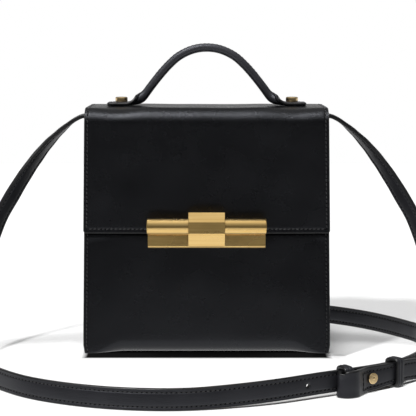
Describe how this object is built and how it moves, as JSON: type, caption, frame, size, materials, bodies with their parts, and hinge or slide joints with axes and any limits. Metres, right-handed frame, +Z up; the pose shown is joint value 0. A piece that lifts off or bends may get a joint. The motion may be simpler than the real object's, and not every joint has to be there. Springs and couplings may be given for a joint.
{
  "type": "box bag",
  "caption": "Small upright black leather box bag with a flap, a brass bar clasp, a folded top handle and a long flat shoulder strap lying round it.",
  "frame": {"origin": "middle of the bag's flat base, on the surface that it stands on", "axes": "+X to the bag's right as seen from the front, +Y to the back, +Z up"},
  "size_m": [0.3549, 0.2826, 0.2294],
  "materials": {
    "leather": "fine grained black calf, semi-matt",
    "strap_leather": "black strap leather with painted edges",
    "metal": "satin brushed"
  },
  "bodies": {
    "bag": {"body_wrap": "leather", "gusset_left": "leather", "gusset_right": "leather", "flap": "leather", "handle": "leather", "handle_stud_left": "metal", "handle_stud_right": "metal", "clasp_bar": "metal", "clasp_plate": "metal", "strap_long": "strap_leather", "strap_short": "strap_leather", "keeper_captive": "strap_leather", "keeper_free": "strap_leather", "strap_stud": "metal", "strap_rivet_left": "metal", "strap_rivet_right": "metal"},
    "lever": {"clasp_lever": "metal"}
  },
  "joints": [
    {"name": "clasp_lever", "type": "hinge", "parent": "bag", "child": "lever", "pos_m": [0, -0.0485, 0.0973], "axis": [-1, 0, 0], "range_deg": [0, 60]}
  ]
}
